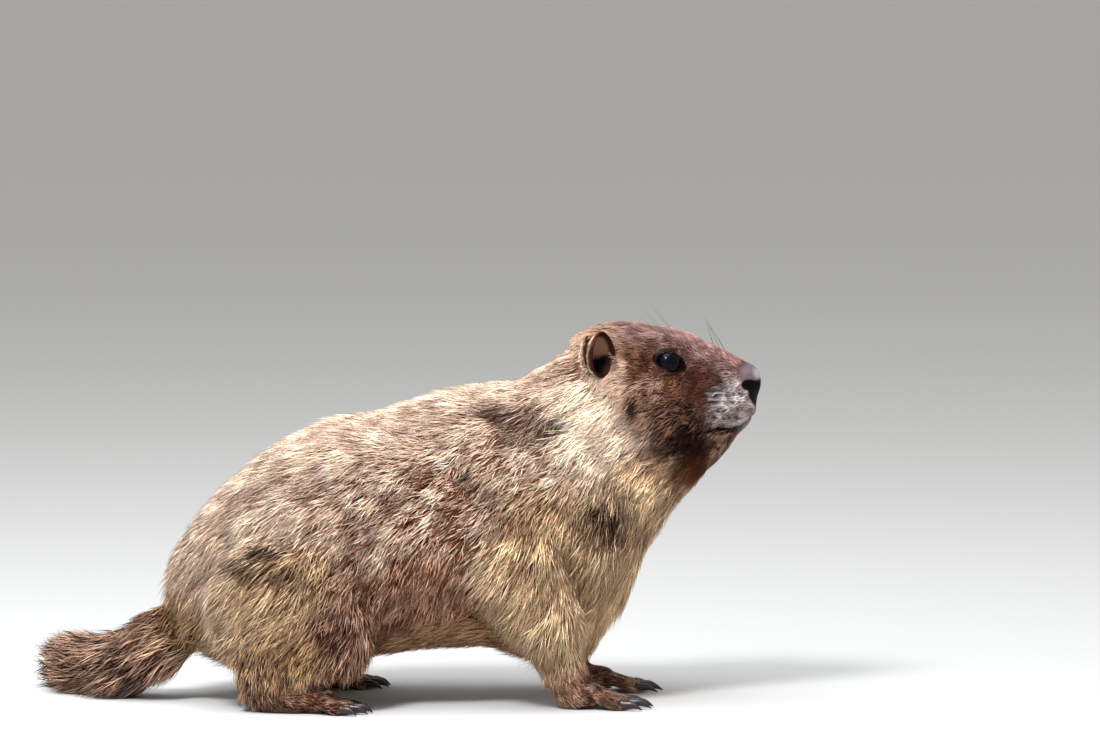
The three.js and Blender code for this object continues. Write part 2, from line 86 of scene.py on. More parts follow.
# Places on the body that settle the coat around them, mirrored to both sides.
# Each has its place, how far it reaches, the way its hair lies (forward, outward, up), the hair's
# length, the coat's depth, the width of a tuft, the share of dark hairs, and its tip and under shades.
REGIONS = {
    "nose": ((187, 0, 190), 5, (-1, 0, 0.1), 0.0, 0.2, 0.3, 0.0, "slate", "slate"),
    "nose_bridge": ((166, 0, 204), 10, (-1, 0.1, 0.3), 4.5, 1.3, 0.40, 0.15, "mauve", "dusk"),
    "lip": ((180, 5, 168), 7, (-1, 0.4, -0.3), 1.8, 0.6, 0.30, 0.1, "frost", "dusk"),
    "whisker_pad": ((170, 11, 177), 9, (-1, 0.3, -0.2), 3.4, 1.1, 0.34, 0.14, "frost", "dusk"),
    "muzzle_side": ((154, 17, 185), 9, (-1, 0.2, -0.1), 4.6, 1.5, 0.40, 0.4, "dusk", "umber"),
    "chin": ((165, 6, 154), 8, (-1, 0.2, -0.5), 5.0, 1.6, 0.40, 0.4, "fawn", "umber"),
    "forehead": ((142, 6, 213), 12, (-1, 0.1, 0.2), 6.0, 2.0, 0.46, 0.2, "mauve", "dusk"),
    "crown": ((116, 6, 221), 13, (-1, 0.1, 0.0), 8.0, 3.0, 0.5, 0.2, "mauve", "dusk"),
    "occiput": ((90, 10, 216), 12, (-1, 0.15, -0.5), 10.0, 3.6, 0.55, 0.12, "fawn", "brown"),
    "under_eye": ((138, 26, 187), 8, (-1, 0.2, -0.45), 5.5, 1.9, 0.45, 0.4, "brown", "umber"),
    "eye_rim": ((136, 26, 200), 5, (-1, 0.1, -0.1), 2.6, 0.9, 0.34, 0.5, "umber", "dark"),
    "temple": ((114, 30, 200), 9, (-1, 0.1, -0.1), 7.0, 2.6, 0.48, 0.35, "brown", "umber"),
    "cheek": ((116, 34, 178), 12, (-1, 0.25, -0.5), 8.0, 3.1, 0.52, 0.3, "fawn", "umber"),
    # partly the coat's own tone, partly painted shade under the jaw: the dark jowl and throat regions
    # below
    "jowl": ((136, 27, 164), 12, (-1, 0.2, -0.6), 9.0, 3.4, 0.55, 0.6, "brown", "dark"),
    "gular": ((141, 12, 149), 10, (-0.9, 0.2, -0.6), 10.0, 3.8, 0.6, 0.6, "russet", "dark"),
    "ear_fringe": ((97, 38, 189), 7, (-0.8, 0.4, -0.5), 8.0, 2.6, 0.48, 0.08, "straw", "fawn"),
    "ear_back": ((84, 30, 206), 6, (-0.8, 0.25, -0.35), 4.0, 1.1, 0.36, 0.1, "straw", "fawn"),
    "ear_front": ((107, 32, 200), 5, (-0.8, 0.35, 0.35), 5.0, 1.3, 0.34, 0.2, "fawn", "brown"),
    "nape": ((70, 14, 203), 18, (-1, 0.1, -0.5), 17.0, 6.5, 0.78, 0.12, "straw", "brown"),
    "neck_side": ((86, 38, 170), 20, (-0.8, 0.1, -0.75), 19.0, 7.0, 0.82, 0.03, "pale", "straw"),
    "throat": ((120, 20, 128), 15, (-0.5, 0.3, -1), 19.0, 7.0, 0.85, 0.16, "gold", "brown"),
    "withers": ((30, 18, 184), 22, (-1, 0.1, -0.3), 18.0, 7.5, 0.9, 0.14, "straw", "brown"),
    "shoulder": ((48, 48, 150), 22, (-0.9, 0.1, -0.75), 18.0, 7.5, 0.9, 0.3, "straw", "russet"),
    "upper_arm": ((56, 62, 104), 22, (-0.45, 0.1, -1), 23.0, 8.0, 0.95, 0.14, "gold", "russet"),
    "breast": ((110, 26, 98), 20, (-0.45, 0.35, -1), 26.0, 9.0, 0.95, 0.12, "gold", "brown"),
    "sternum": ((98, 8, 52), 16, (-0.6, 0.1, -0.9), 22.0, 8.0, 1.0, 0.1, "gold", "fawn"),
    "elbow": ((52, 58, 62), 15, (-0.5, 0.0, -1), 20.0, 6.5, 0.9, 0.1, "gold", "brown"),
    "forearm": ((72, 52, 36), 11, (0.05, 0.05, -1), 12.0, 4.0, 0.8, 0.1, "gold", "brown"),
    "wrist": ((76, 46, 18), 8, (0.5, 0.0, -1), 6.0, 2.0, 0.6, 0.3, "fawn", "brown"),
    "fore_foot": ((92, 44, 9), 10, (1, 0.0, -0.25), 3.6, 0.9, 0.42, 0.4, "fawn", "umber"),
    "back": ((-12, 24, 176), 26, (-1, 0.1, -0.15), 17.0, 7.5, 0.9, 0.1, "straw", "brown"),
    "loin": ((-64, 26, 162), 26, (-1, 0.12, -0.35), 19.0, 7.5, 0.95, 0.1, "straw", "brown"),
    "ribs": ((12, 66, 124), 26, (-0.8, 0.1, -0.75), 13.0, 7.0, 0.82, 0.4, "straw", "russet"),
    "flank": ((-34, 70, 110), 26, (-0.7, 0.1, -0.85), 13.5, 7.0, 0.82, 0.34, "straw", "russet"),
    "low_flank": ((-14, 62, 66), 26, (-0.5, 0.1, -1), 14.0, 7.0, 0.85, 0.36, "fawn", "russet"),
    "belly": ((0, 20, 32), 26, (-1, 0.3, -0.1), 17.0, 6.5, 0.95, 0.2, "honey", "russet"),
    "thigh_top": ((-92, 62, 112), 20, (-0.8, 0.1, -0.85), 21.0, 8.0, 0.95, 0.14, "straw", "brown"),
    "thigh": ((-88, 74, 76), 20, (-0.75, 0.1, -0.9), 21.0, 8.0, 0.95, 0.2, "gold", "russet"),
    "knee": ((-52, 74, 52), 14, (-0.5, 0.1, -1), 16.0, 6.5, 0.9, 0.36, "fawn", "umber"),
    "shank": ((-84, 68, 30), 13, (-0.4, 0.1, -1), 14.0, 4.8, 0.85, 0.3, "honey", "umber"),
    "hind_foot": ((-74, 61, 10), 16, (1, 0.0, -0.3), 4.5, 1.2, 0.46, 0.4, "fawn", "umber"),
    "rump": ((-138, 22, 100), 24, (-0.7, 0.12, -0.9), 20.0, 7.5, 0.95, 0.1, "straw", "brown"),
    "tail_tip": ((-224, 98, 11), 16, (0.05, 1, -0.1), 8.0, 5.0, 0.85, 0.5, "fawn", "dark"),
    "tail_root": ((-152, 8, 54), 14, (-1, 0.1, -0.7), 24.0, 8.0, 1.0, 0.3, "honey", "umber"),
}
TAIL_ROUTE = np.array(
    [[-138, 0, 58], [-162, 2, 36], [-186, 12, 21], [-209, 33, 17], [-222, 60, 14], [-224, 86, 10]], float
)
TAIL_REACH = 12
TAIL_HAIR = {"length": 24.0, "depth": 8.5, "width": 1.05, "dark": 0.45, "tip": "fawn", "under": "dark"}

FIELDS = ("length", "depth", "width", "dark")


def region_table():
    places, reaches, lies, numbers, tips, unders = [], [], [], [], [], []
    for at, reach, lie, length, depth, width, dark, tip, under in REGIONS.values():
        for side in (1, -1):
            places.append((at[0], side * at[1], at[2]))
            reaches.append(reach)
            lies.append((lie[0], side * lie[1], lie[2]))
            numbers.append((length, depth, width, dark))
            tips.append(SHADES[tip])
            unders.append(SHADES[under])
    for a, b in zip(TAIL_ROUTE[1:-1], TAIL_ROUTE[2:]):
        places.append(tuple((a + b) / 2))
        reaches.append(TAIL_REACH)
        lies.append(tuple((b - a) / np.linalg.norm(b - a)))
        numbers.append(tuple(TAIL_HAIR[f] for f in FIELDS))
        tips.append(SHADES[TAIL_HAIR["tip"]])
        unders.append(SHADES[TAIL_HAIR["under"]])
    return (np.array(c, float) for c in (places, reaches, lies, numbers, linear(tips), linear(unders)))


PLACES, REACHES, LIES, NUMBERS, TIPS, UNDERS = region_table()
POINTS_AT_ONCE = 20000
SHARPNESS = {"least": 0.02, "power": 3}  # how sharply one region gives way to the next


def coat_at(points):
    """The coat around points: lie, length, depth, width, dark share, tip and under colours."""
    parts = {k: [] for k in ("lie", "numbers", "tip", "under")}
    for chunk in np.array_split(points, max(1, len(points) // POINTS_AT_ONCE)):
        gap = np.linalg.norm(chunk[:, None, :] - PLACES[None], axis=2) / REACHES
        weight = 1 / (SHARPNESS["least"] + gap**2) ** SHARPNESS["power"]
        weight /= weight.sum(1, keepdims=True)
        parts["lie"].append(weight @ LIES)
        parts["numbers"].append(weight @ NUMBERS)
        parts["tip"].append(weight @ TIPS)
        parts["under"].append(weight @ UNDERS)
    joined = {k: np.concatenate(v) for k, v in parts.items()}
    for i, field in enumerate(FIELDS):
        joined[field] = joined["numbers"][:, i]
    return joined


# Roots of the whiskers on one side, which also show as dark spots
WHISKER_ROWS, WHISKER_COLUMNS = 4, 4
WHISKER_FIRST = np.array([176.5, 10.0, 182.0])
NEXT_ROW = np.array([-1.0, 0.0, -4.4])
NEXT_COLUMN = np.array([-4.0, 1.2, 0.0])
WHISKERS = [
    WHISKER_FIRST + row * NEXT_ROW + column * NEXT_COLUMN
    for row in range(WHISKER_ROWS)
    for column in range(WHISKER_COLUMNS)
]

# Soft noise on a lattice, the same for skin and coat
LATTICE_SIZE = 24
LATTICE = rng.random((4, LATTICE_SIZE, LATTICE_SIZE, LATTICE_SIZE))
LATTICE_START = 400.0  # keeps every place on the lattice above zero


def noise(points, scale, layer=0):
    p = points / scale + LATTICE_START
    whole = np.floor(p).astype(int)
    t = p - whole
    t = t * t * (3 - 2 * t)
    value = np.zeros(len(points))
    for dx in (0, 1):
        for dy in (0, 1):
            for dz in (0, 1):
                corner = (whole + (dx, dy, dz)) % LATTICE_SIZE
                share = np.prod(np.where((dx, dy, dz), t, 1 - t), axis=1)
                value += share * LATTICE[layer, corner[:, 0], corner[:, 1], corner[:, 2]]
    return value


def smooth(low, high, x):
    t = np.clip((x - low) / (high - low), 0, 1)
    return t * t * (3 - 2 * t)


# Marks that the regions are too broad for: place, half sizes, shade and strength, on both sides. Some are
# painted shade and one is partly painted light, as noted at each.
MARKS = [
    ((48, 36, 164), (28, 40, 14), "umber", 0.4),
    ((35, 36, 168), (14, 40, 4), "dark", 0.7),
    ((63, 36, 160), (13, 40, 5), "dark", 0.8),
    ((57, 36, 168), (9, 40, 4), "umber", 0.6),
    # painted shade: dark marks in the fold of the breast
    ((88, 40, 112), (12, 34, 6), "dark", 1.0),
    ((97, 40, 106), (6, 34, 12), "dark", 0.95),
    ((87, 40, 99), (9, 34, 4.5), "umber", 0.7),
    # partly the chest's own gold, partly painted light: a lighter low chest between the forelegs, where
    # shade falls
    ((88, 30, 68), (18, 40, 18), "gold", 0.4),
    # partly darker underfur, partly painted shade: a split in the coat of the haunch
    ((-114, 66, 82), (14, 24, 4), "dark", 0.85),
    ((87, 39, 207), (5, 6, 14), "umber", 0.8),
    # partly darker underfur, partly painted shade: splits in the coat of the haunch
    ((-102, 70, 90), (15, 24, 5), "dark", 0.95),
    ((-96, 74, 79), (16, 24, 5), "dark", 0.85),
    ((14, 60, 137), (5, 30, 6), "dark", 0.95),
    ((-60, 66, 66), (26, 26, 20), "umber", 0.45),
    ((112, 36, 172.5), (4.5, 16, 7), "dark", 0.95),
    ((118, 30, 201), (4, 10, 4.5), "umber", 0.7),
    ((109.5, 32, 207), (2.5, 8, 5), "umber", 0.7),
    ((106, 34, 200), (3, 8, 6), "straw", 0.4),
    ((150, 20, 194), (5, 8, 8), "umber", 0.5),
    ((140, 24, 180), (13, 12, 6), "umber", 0.5),
    ((135, 24, 208.5), (8, 8, 1.6), "dark", 0.8),
    ((160, 4, 211), (11, 8, 4), "mauve", 0.5),
    ((155.5, 15, 168), (3, 8, 4.5), "mauve", 0.85),
    # painted shadow: the dark throat under the jaw
    ((140, 22, 153), (17, 24, 12), "dark", 0.85),
    ((163.5, 10, 156.5), (6, 12, 2.6), "fawn", 0.6),
    # partly the throat's own russet, partly painted shadow below the jaw
    ((143, 14, 138), (13, 24, 11), "russet", 0.75),
    ((161, 15, 181.5), (6, 8, 6.5), "frost", 0.7),
    ((161, 15, 184.8), (5.5, 9, 1.4), "dark", 0.95),
    ((160.5, 15, 181.4), (5.5, 9, 1.4), "dark", 0.95),
    ((160, 15, 178.0), (5.5, 9, 1.4), "dark", 0.95),
]
WHISKER_SPOT = (1.5, 12, 1.5)
MARKS += [(root, WHISKER_SPOT, "dark", 0.85) for root in WHISKERS]
RAGGED = 0.7  # how unevenly the broad marks end
SMALL_MARK = 2  # marks with a half size up to this end more evenly
GRAIN = {"least": 0.42, "broad": 0.35, "face": 0.8, "body": 0.7}

# The line between the lips, on the left side
MOUTH = np.array([
    (188, 0, 169.5), (184.5, 6, 167.5), (178.5, 10, 163),
    (172, 13, 161.3), (165, 15, 162), (158, 16.5, 161),
])
MOUTH_LINE = np.concatenate([np.linspace(a, b, 12) for a, b in zip(MOUTH[:-1], MOUTH[1:])])
MOUTH_NEAR = 148  # nothing further back is near the mouth
MOUTH_SCALE = (0.6, 0.35, 1.0)
LIPS_BARE = 1.7


def mirrored(points):
    """Points of both sides, brought to the animal's left."""
    return points * (1, 0, 1) + np.abs(points) * (0, 1, 0)


def mouth_share(points, width):
    """1 on the line between the lips, fading to 0 over a width."""
    share = np.zeros(len(points))
    close = points[:, 0] > MOUTH_NEAR
    away = (mirrored(points[close])[:, None] - MOUTH_LINE[None]) * MOUTH_SCALE
    share[close] = np.exp(-((np.linalg.norm(away, axis=2).min(1) / width) ** 2))
    return share


def markings_and_painted_shade(points, coat):
    """Tip and under colours with patches and marks, for skin and coat alike; some marks are painted
    shade, in a fold, in splits and under the jaw, and one is partly painted light on the low chest.
    """
    tip, under = coat["tip"].copy(), coat["under"].copy()
    broad = noise(points, 24, 0)
    banded = smooth(0.28, 0.72, noise(points * (1.25, 1, 0.6), 5.5, 3))
    mottled = smooth(0.3, 0.7, noise(points, 3.4, 1))
    on_face = smooth(12, 8, coat["length"])
    grain = GRAIN["least"] + GRAIN["broad"] * broad
    grain += on_face * GRAIN["face"] * mottled + (1 - on_face) * GRAIN["body"] * banded
    tip *= grain[:, None]
    under *= (0.6 + 0.4 * grain)[:, None]
    left = mirrored(points)
    for at, size, shade, strength in MARKS:
        away = np.linalg.norm((left - at) / size, axis=1)
        uneven = RAGGED if min(size) > SMALL_MARK else RAGGED / 5
        ragged = away + uneven * (noise(points, 5, 1) - 0.5)
        share = (strength * (1 - smooth(0.5, 1.15, ragged)))[:, None]
        tip += share * (linear(SHADES[shade]) - tip)
        under += share * (linear(SHADES[shade]) * 0.6 - under)
    lips = 0.95 * mouth_share(points, LIPS_BARE)[:, None]
    tip += lips * (linear(SHADES["black"]) - tip)
    under += lips * (linear(SHADES["black"]) - under)
    return tip, under


# Mesh helpers, on arrays in millimetres
def link(name, mesh):
    piece = bpy.data.objects.new(name, mesh)
    bpy.context.scene.collection.objects.link(piece)
    return piece


def coords(mesh):
    co = np.zeros(len(mesh.vertices) * 3)
    mesh.vertices.foreach_get("co", co)
    return co.reshape(-1, 3) * MM - HOME


def put_coords(mesh, points):
    mesh.vertices.foreach_set("co", ((points + HOME) / MM).ravel())
    mesh.update()


def normals_of(mesh):
    mesh.update()
    n = np.zeros(len(mesh.vertices) * 3, np.float32)
    mesh.vertex_normals.foreach_get("vector", n)
    return n.reshape(-1, 3).astype(float)


def neighbours(mesh):
    ends = np.zeros(len(mesh.edges) * 2, int)
    mesh.edges.foreach_get("vertices", ends)
    return ends.reshape(-1, 2)


def relax(points, ends, rate, passes):
    """Draws each point towards the mean of its neighbours, by its own rate."""
    count = len(points)
    degree = np.bincount(ends.ravel(), minlength=count)[:, None]
    for _ in range(passes):
        total = np.empty_like(points)
        for axis in range(3):
            total[:, axis] = np.bincount(ends[:, 0], points[ends[:, 1], axis], count)
            total[:, axis] += np.bincount(ends[:, 1], points[ends[:, 0], axis], count)
        points = points + rate[:, None] * (total / degree - points)
    return points


def grown_copy(bm, node):
    """Adds a node's solid to bm, welded and slightly swollen."""
    part = bmesh.new()
    part.from_mesh(node.data)
    bmesh.ops.remove_doubles(part, verts=part.verts, dist=1e-5)
    part.normal_update()
    for v in part.verts:
        v.co += v.normal * NODE_OVERLAP / MM
    mesh = bpy.data.meshes.new("part")
    part.to_mesh(mesh)
    part.free()
    bm.from_mesh(mesh)
    bpy.data.meshes.remove(mesh)


def remeshed(bm, voxel):
    mesh = bpy.data.meshes.new("skin")
    bm.to_mesh(mesh)
    bm.free()
    rough = link("skin_rough", mesh)
    change = rough.modifiers.new("voxels", "REMESH")
    change.mode = "VOXEL"
    change.voxel_size = voxel / MM
    result = bpy.data.meshes.new_from_object(rough.evaluated_get(bpy.context.evaluated_depsgraph_get()))
    bpy.data.objects.remove(rough)
    return result


def subdivided(mesh, chosen):
    """Halves the faces around the chosen vertices."""
    bm = bmesh.new()
    bm.from_mesh(mesh)
    bm.verts.ensure_lookup_table()
    edges = [e for e in bm.edges if chosen[e.verts[0].index] and chosen[e.verts[1].index]]
    bmesh.ops.subdivide_edges(bm, edges=edges, cuts=1, use_grid_fill=True)
    bm.to_mesh(mesh)
    bm.free()
    return mesh


# The skin: one surface over all the nodes of flesh
bare = [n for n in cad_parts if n.startswith(("claw_", "eye_"))]
flesh = [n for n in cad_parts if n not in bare]
cast = bmesh.new()
for name in flesh:
    grown_copy(cast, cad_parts[name])
skin_mesh = remeshed(cast, VOXEL)

HEAD_LINE = {"slant": 0.55, "level": 175, "from": 96, "to": 112}  # through the back of the head
SMOOTHING = {"passes": 70, "regained": 40}


def near(points, at, reach):
    """Whether points are within a reach of a place, on either side."""
    return np.linalg.norm(mirrored(points) - at, axis=1) < reach


def head_share(points):
    """0 on the trunk, 1 on the head."""
    ahead = points[:, 0] - HEAD_LINE["slant"] * (HEAD_LINE["level"] - points[:, 2])
    return smooth(HEAD_LINE["from"], HEAD_LINE["to"], ahead)


def region_rate(points):
    """How fast each part of the skin is smoothed: the trunk most, face less, paws and ears least."""
    rate = np.full(len(points), 0.95)
    rate *= 1 - 0.84 * head_share(points)
    rate *= 1 - 0.9 * smooth(24, 14, points[:, 2]) * (points[:, 0] > -130)
    ear = np.linalg.norm(mirrored(points) - EAR_AT, axis=1)
    rate *= 1 - 0.93 * smooth(21, 14, ear)
    return rate


points = coords(skin_mesh)
ends = neighbours(skin_mesh)
rate = region_rate(points)
smoothed = relax(points, ends, rate, SMOOTHING["passes"])
put_coords(skin_mesh, smoothed)
normals = normals_of(skin_mesh)
lost = ((points - smoothed) * normals).sum(1, keepdims=True)
lost = relax(np.repeat(lost, 3, axis=1), ends, rate, SMOOTHING["regained"])
points = smoothed + normals * lost
put_coords(skin_mesh, points)

DEPTH_STEPS = 4
SKIN_SHARE = 0.86  # the skin lies this share of the coat's depth inside the solids
for _ in range(DEPTH_STEPS):
    depth = coat_at(points)["depth"] * SKIN_SHARE
    points = points - normals_of(skin_mesh) * (depth / DEPTH_STEPS)[:, None]
    points = relax(points, neighbours(skin_mesh), region_rate(points) * 0.5, 3)
    put_coords(skin_mesh, points)

# Finer faces where the head needs detail
FINE = {"round_eye": 13, "muzzle_from": 160}
skin_mesh = subdivided(skin_mesh, head_share(points) > 0.5)
points = coords(skin_mesh)
fine = near(points, EYE_AT, FINE["round_eye"]) | (points[:, 0] > FINE["muzzle_from"])
skin_mesh = subdivided(skin_mesh, fine)
points = coords(skin_mesh)
ends = neighbours(skin_mesh)
points = relax(points, ends, 0.5 * (points[:, 0] > 100), 6)

# The eyes: each looks out, a little forward and up; the lids follow the ball and leave an almond open
EYE_AXIS = np.array([0.30, 0.93, 0.12])
EYE_AXIS /= np.linalg.norm(EYE_AXIS)
OPENING = {"wide": 7.4, "tall": 4.2}
LID = {
    "thick": 0.9, "close": 0.15, "spread": 0.6,  # beyond the ball
    "reach": 5.0, "within": 9.0, "front": 14.0,  # how much of the head is drawn to the ball
    "rim": 6.4, "lower": 1.5, "far": 13.0,  # the socket's own rim, and where its drawing in ends
    "under": 1.5,  # how far the skin in the opening lies under the ball
}
TEAR = {"ahead": 9.0, "below": 3.3, "long": 4.0, "tall": 1.5}

EYE_AHEAD = np.array([1.0, 0, 0]) - EYE_AXIS * EYE_AXIS[0]
EYE_AHEAD /= np.linalg.norm(EYE_AHEAD)
EYE_UP = np.cross(EYE_AHEAD, EYE_AXIS)
EYE_UP *= np.sign(EYE_UP[2])


def eye_ring(points):
    """How far points are from the middle of the eye's opening (1 on its edge), and how far out."""
    out = mirrored(points) - EYE_AT
    u, v = out @ EYE_AHEAD, out @ EYE_UP
    tall = OPENING["tall"] * (1 - 0.22 * smooth(1, 7, u))
    ring = np.hypot(u / OPENING["wide"], (v + 0.2 * u) / tall)
    return ring, np.hypot(u, v), out @ EYE_AXIS, u, v


def tear_corner(ahead, height):
    """Below 1 in the dark slit that runs forward and down from the front of the lids."""
    u, v = ahead - TEAR["ahead"], height + TEAR["below"]
    return np.hypot((0.87 * u - 0.5 * v) / TEAR["long"], (0.5 * u + 0.87 * v) / TEAR["tall"])


def side_of(points):
    """(1, 1, 1) for each point on the left side, (1, -1, 1) on the right."""
    return np.where(points[:, 1:2] > 0, 1.0, -1.0) * (0, 1, 0) + (1, 0, 1)


def drawn_in(points):
    """Moves the rim of each eye socket over the ball, to the edge of the almond."""
    ring, round_axis, along, u, v = eye_ring(points)
    edge = round_axis / np.maximum(ring, 1e-6)
    rim = LID["rim"] + LID["lower"] * smooth(0, -5, v)
    share = smooth(LID["far"], LID["rim"] + 0.5, round_axis) * smooth(0.5, 3, along)
    share *= along < LID["front"]
    move = (edge - rim) * share / np.maximum(round_axis, 1e-6)
    return points + ((u * move)[:, None] * EYE_AHEAD + (v * move)[:, None] * EYE_UP) * side_of(points)


def shape_eyes(points):
    """Draws the skin round each ball as two lids with an almond opening between them."""
    ring, round_axis, along, _, _ = eye_ring(points)
    out = points - EYE_AT * side_of(points)
    far = np.linalg.norm(out, axis=1)
    unit = out / np.maximum(far, 1e-6)[:, None]
    hold = smooth(EYE_RADIUS + LID["reach"], EYE_RADIUS + 0.5, round_axis)
    hold = hold * (along > 0) * (far < EYE_RADIUS + LID["within"])
    lid = EYE_RADIUS + LID["close"] + LID["thick"] * smooth(1.0, 1.2, ring)
    share = smooth(1.05, 0.95, ring)
    wanted = share * (EYE_RADIUS - LID["under"]) + (1 - share) * np.clip(far, lid, lid + LID["spread"])
    return points + unit * ((wanted - far) * hold)[:, None]


points = shape_eyes(drawn_in(points))
put_coords(skin_mesh, points)


def dent(points, normals, at, size, deep):
    """Presses the skin in (or, below zero, raises it) around a place, on both sides."""
    away = ((mirrored(points) - at) / size) ** 2
    return points - normals * (deep * np.exp(-away.sum(1)))[:, None]


# Nose and lips
NOSTRIL = (181.0, 8.5, 187.0)
NOSE_FRONT, NOSE_FRONT_SIZE = (186.0, 0, 182.0), (8.0, 16, 9.0)
NOSE_TOP, NOSE_TOP_SIZE = (183.0, 0, 193.0), (9.5, 16, 7.5)
DENTS = [
    ((181, 0, 197), (7, 9, 6), -0.8),
    ((180, 7.5, 193), (4, 4, 3), -0.8),
    (NOSTRIL, (4.0, 3.4, 2.2), 3.2),
    ((184.5, 5.5, 185.0), (2.6, 2.2, 2.6), 2.0),
    ((188, 0, 181), (5, 0.9, 8), 1.0),
    ((175, 11, 176), (8, 7, 7), -1.0),
]
MOUTH_GROOVE = {"deep": 2.2, "wide": 1.5}
normals = normals_of(skin_mesh)
for at, size, deep in DENTS:
    points = dent(points, normals, at, size, deep)
points = points - normals * (MOUTH_GROOVE["deep"] * mouth_share(points, MOUTH_GROOVE["wide"]))[:, None]
points = relax(points, ends, 0.35 * (points[:, 0] > 110), 1)
put_coords(skin_mesh, points)


# Closed forms lofted through rings of points
def circle(centre, across, up, radius, segments):
    turn = np.linspace(0, 2 * math.pi, segments, endpoint=False)[:, None]
    return centre + radius * (np.cos(turn) * across + np.sin(turn) * up)


def loft(rings, name):
    segments = len(rings[0])
    faces = []
    for r in range(len(rings) - 1):
        for k in range(segments):
            a, b = r * segments + k, r * segments + (k + 1) % segments
            faces.append((a, a + segments, b + segments, b))
    faces.append(tuple(range(segments)))
    faces.append(tuple((len(rings) - 1) * segments + k for k in range(segments)))
    bm = bmesh.new()
    verts = [bm.verts.new(tuple(p)) for p in (np.concatenate(rings) + HOME) / MM]
    for face in faces:
        bm.faces.new([verts[i] for i in face])
    bmesh.ops.recalc_face_normals(bm, faces=bm.faces)
    mesh = bpy.data.meshes.new(name)
    bm.to_mesh(mesh)
    bm.free()
    mesh.shade_smooth()
    return mesh


# The ears: each a cup with a rolled rim, deepest low down
EAR = {
    "wide": 7.9, "tall": 12.6, "bowl": 6.5, "hole": 4.0, "wall": 1.5,
    "turn": 50, "lean": 10, "ahead": 2.6, "narrower": 0.16, "flare": 0.8,
}
EAR_RINGS = {"inner": 16, "outer": 12, "segments": 48}


def ear_axes(side):
    turn, lean = math.radians(EAR["turn"]), math.radians(EAR["lean"])
    facing = np.array([math.cos(turn), side * math.sin(turn), 0])
    back, out = -math.sin(turn) * math.sin(lean), math.cos(turn) * math.sin(lean)
    up = np.array([back, side * out, math.cos(lean)])
    return facing, up, np.cross(up, facing)


def ear_rings(side):
    facing, up, across = ear_axes(side)
    centre = EAR_AT * (1, side, 1) + facing * EAR["ahead"]
    turn = np.linspace(0, 2 * math.pi, EAR_RINGS["segments"], endpoint=False)[:, None]
    c, s = np.cos(turn), np.sin(turn)
    narrow = 1 - EAR["narrower"] * s  # narrower at the top

    def ring(r, more, deep):
        low = np.exp(-(((r * s + 0.45) / 0.35) ** 2) - (r * c / 0.45) ** 2)
        sunk = -deep * (1 - r * r) ** 0.7 - EAR["hole"] * low
        flare = EAR["flare"] * s * r
        return (
            centre
            + across * (EAR["wide"] + more) * r * c * narrow
            + up * (EAR["tall"] + more) * r * s
            + facing * (sunk + flare)
        )

    inner = [ring(r, 0, EAR["bowl"]) for r in np.linspace(0.04, 0.99, EAR_RINGS["inner"])]
    rim = ring(1.0, EAR["wall"] / 2, 0) + facing * EAR["wall"] * 0.55
    back = EAR["bowl"] + EAR["wall"] + 1
    outer = [ring(r, EAR["wall"], back) for r in np.linspace(0.99, 0.04, EAR_RINGS["outer"])]
    return inner + [rim] + outer


CLEAR = 30.0  # so far in front of an ear nothing is pressed in
PRESSED = {"below": 2.5, "behind": 8.5, "within": 26}  # around the cup


def hollowed(points, side):
    """Presses the head in behind the cup of an ear, so that the cup lies open."""
    facing, up, across = ear_axes(side)
    out = points - EAR_AT * (1, side, 1) - facing * EAR["ahead"]
    u, v, w = out @ across, out @ up, out @ facing
    reach = np.hypot(u / (EAR["wide"] + 0.5), v / (EAR["tall"] + 0.5))
    deep = EAR["bowl"] + EAR["hole"] + PRESSED["below"]
    within = np.where(reach < 1.02, -deep * smooth(1.02, 0.8, reach), CLEAR)
    behind = CLEAR - (CLEAR + PRESSED["behind"]) * smooth(2, -5, out[:, 0]) * smooth(1.6, 1.25, reach)
    floor_at = np.minimum(within, behind)
    near_ear = (np.abs(out).max(1) < PRESSED["within"]) & (w > floor_at)
    return points + facing * ((floor_at - w) * near_ear)[:, None]


for side in (1, -1):
    points = hollowed(points, side)
points = relax(points, ends, 0.5 * near(points, EAR_AT, 24), 2)
put_coords(skin_mesh, points)
head_count = len(points)
whole = bmesh.new()
whole.from_mesh(skin_mesh)
for side in (1, -1):
    shell = loft(ear_rings(side), "ear")
    whole.from_mesh(shell)
    bpy.data.meshes.remove(shell)
whole.to_mesh(skin_mesh)
whole.free()
points = coords(skin_mesh)
on_ear = np.arange(len(points)) >= head_count
skin = link("skin", skin_mesh)
skin_mesh.shade_smooth()

# Skin colours
normals = normals_of(skin_mesh)
coat = coat_at(points)
tip, under = markings_and_painted_shade(points, coat)
short = smooth(5.0, 2.0, coat["length"])[:, None]
skin_colour = under * 0.55 * (1 - short) + (0.55 * under + 0.3 * tip) * short
left = mirrored(points)


def tinted(colours, at, size, shade, strength, soft):
    """Colours with a shade laid over them around a place, fading over a soft edge."""
    away = np.linalg.norm((left - at) / size, axis=1)
    share = (strength * (1 - smooth(1 - soft, 1 + soft, away)))[:, None]
    return colours + share * (linear(SHADES[shade]) - colours)


